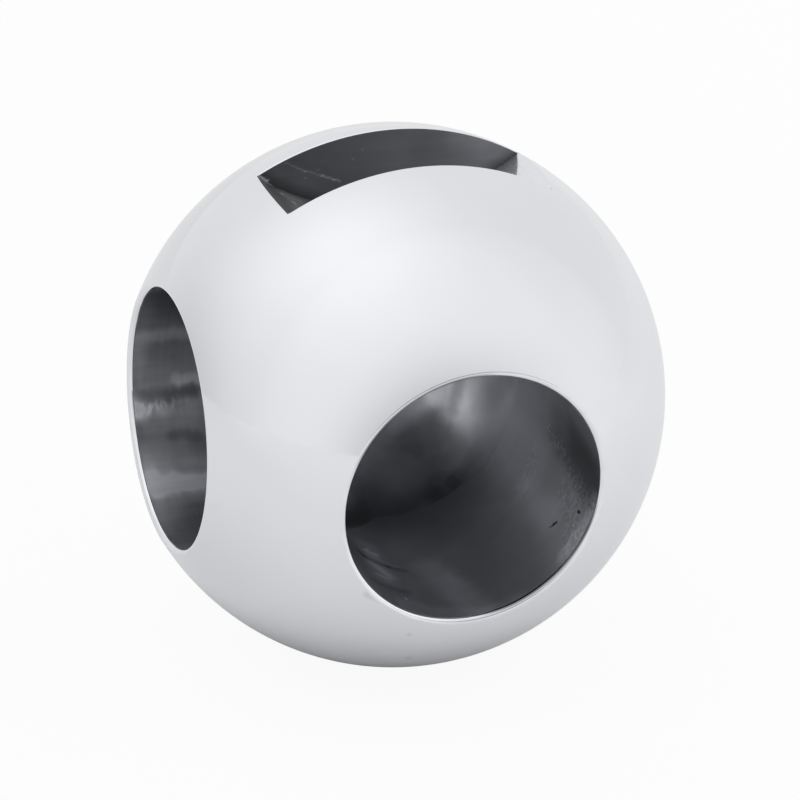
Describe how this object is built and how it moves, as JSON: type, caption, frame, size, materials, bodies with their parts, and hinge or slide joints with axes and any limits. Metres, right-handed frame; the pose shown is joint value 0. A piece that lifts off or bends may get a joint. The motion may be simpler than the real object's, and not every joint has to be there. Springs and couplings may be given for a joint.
{
  "type": "l-port valve ball",
  "caption": "Polished steel valve ball with two bores that meet at a right angle inside and a milled slot for the stem across its top.",
  "frame": {"origin": "centre of the sphere, which is the point that the valve's seats and stem share", "axes": "+Z along the stem's axis, out of the slot; the front port opens toward -Y and the side port toward -X; the slot runs along X"},
  "size_m": [0.0747, 0.0747, 0.0793],
  "materials": {
    "steel": "mirror-polished sphere, turned bores, as-cast corner and milled slot"
  },
  "bodies": {
    "root": {"valve_ball": "steel"}
  },
  "joints": []
}
